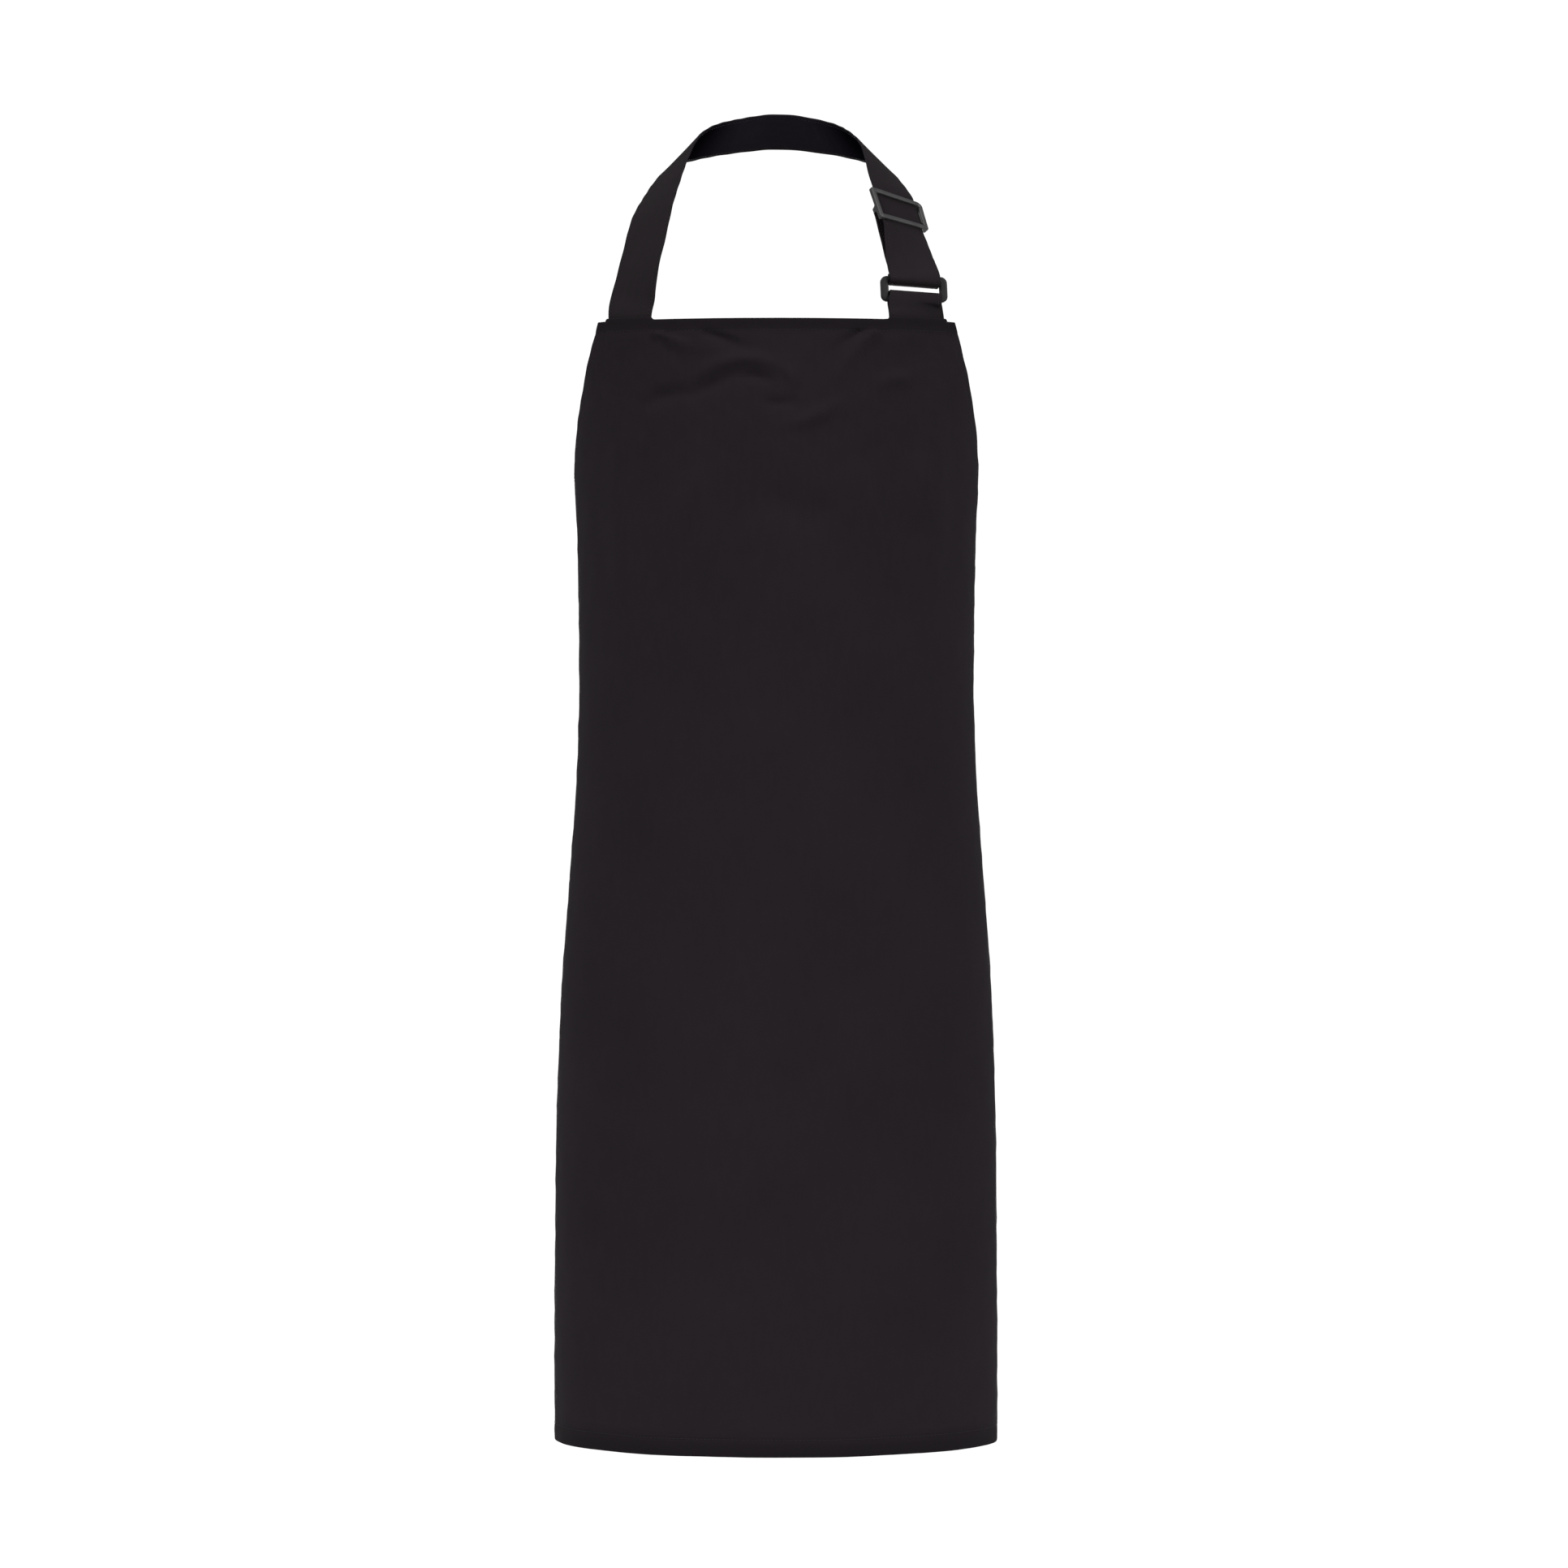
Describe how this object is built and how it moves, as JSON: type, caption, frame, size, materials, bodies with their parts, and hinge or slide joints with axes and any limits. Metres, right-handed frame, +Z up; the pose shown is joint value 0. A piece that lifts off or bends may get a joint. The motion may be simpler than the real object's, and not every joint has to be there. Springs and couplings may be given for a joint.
{
  "type": "artist apron",
  "caption": "Black bib apron in its worn shape: wrapped cloth panel, adjustable neck strap with slider and ring, waist ties in a bow.",
  "frame": {"origin": "middle of the neck strap's inner face at the nape, where the apron hangs", "axes": "+Z up along the apron's length, +Y from the wearer's front to back, +X to the right seen from the front, the side with the slider"},
  "size_m": [0.3434, 0.2509, 1.0366],
  "materials": {
    "cloth": "matt black twill with a soft finish",
    "strap": "matt black self-fabric strap",
    "plastic": "dark grey moulded plastic, satin",
    "thread": "black sewing thread"
  },
  "bodies": {
    "root": {"front_panel": "cloth", "bib_top_hem": "cloth", "armhole_hem_left": "cloth", "armhole_hem_right": "cloth", "side_hem_left": "cloth", "side_hem_right": "cloth", "bottom_hem": "cloth", "neck_strap": "strap", "strap_tail": "strap", "ring_tab": "strap", "strap_root_bartack": "thread", "tab_root_bartack": "thread", "tie_bartack_left": "thread", "tie_bartack_right": "thread", "waist_tie_left": "strap", "waist_tie_right": "strap", "bow_knot": "strap", "bow_loop_left": "strap", "bow_loop_right": "strap"},
    "slider": {"tri_glide_slider": "plastic", "strap_end_loop": "strap", "strap_end_bartack": "thread"},
    "ring": {"rectangle_ring": "plastic"},
    "tail_left": {"bow_tail_left": "strap"},
    "tail_right": {"bow_tail_right": "strap"}
  },
  "joints": [
    {"name": "slider_slide", "type": "slide", "parent": "root", "child": "slider", "axis": [-0.2285, 0.4669, 0.8543], "range_m": [-0.011, 0.004], "deforming": ["strap_tail"]},
    {"name": "ring_tilt", "type": "hinge", "parent": "root", "child": "ring", "pos_m": [0.10432, -0.16283, -0.14691], "axis": [0.9794, 0.1931, -0.06], "range_deg": [-5, 5]},
    {"name": "tail_swing_left", "type": "hinge", "parent": "root", "child": "tail_left", "pos_m": [-0.014, 0.038, -0.4815], "axis": [1, 0, 0], "range_deg": [-6, 80]},
    {"name": "tail_swing_right", "type": "hinge", "parent": "root", "child": "tail_right", "pos_m": [0.014, 0.038, -0.4815], "axis": [1, 0, 0], "range_deg": [-6, 80]}
  ]
}
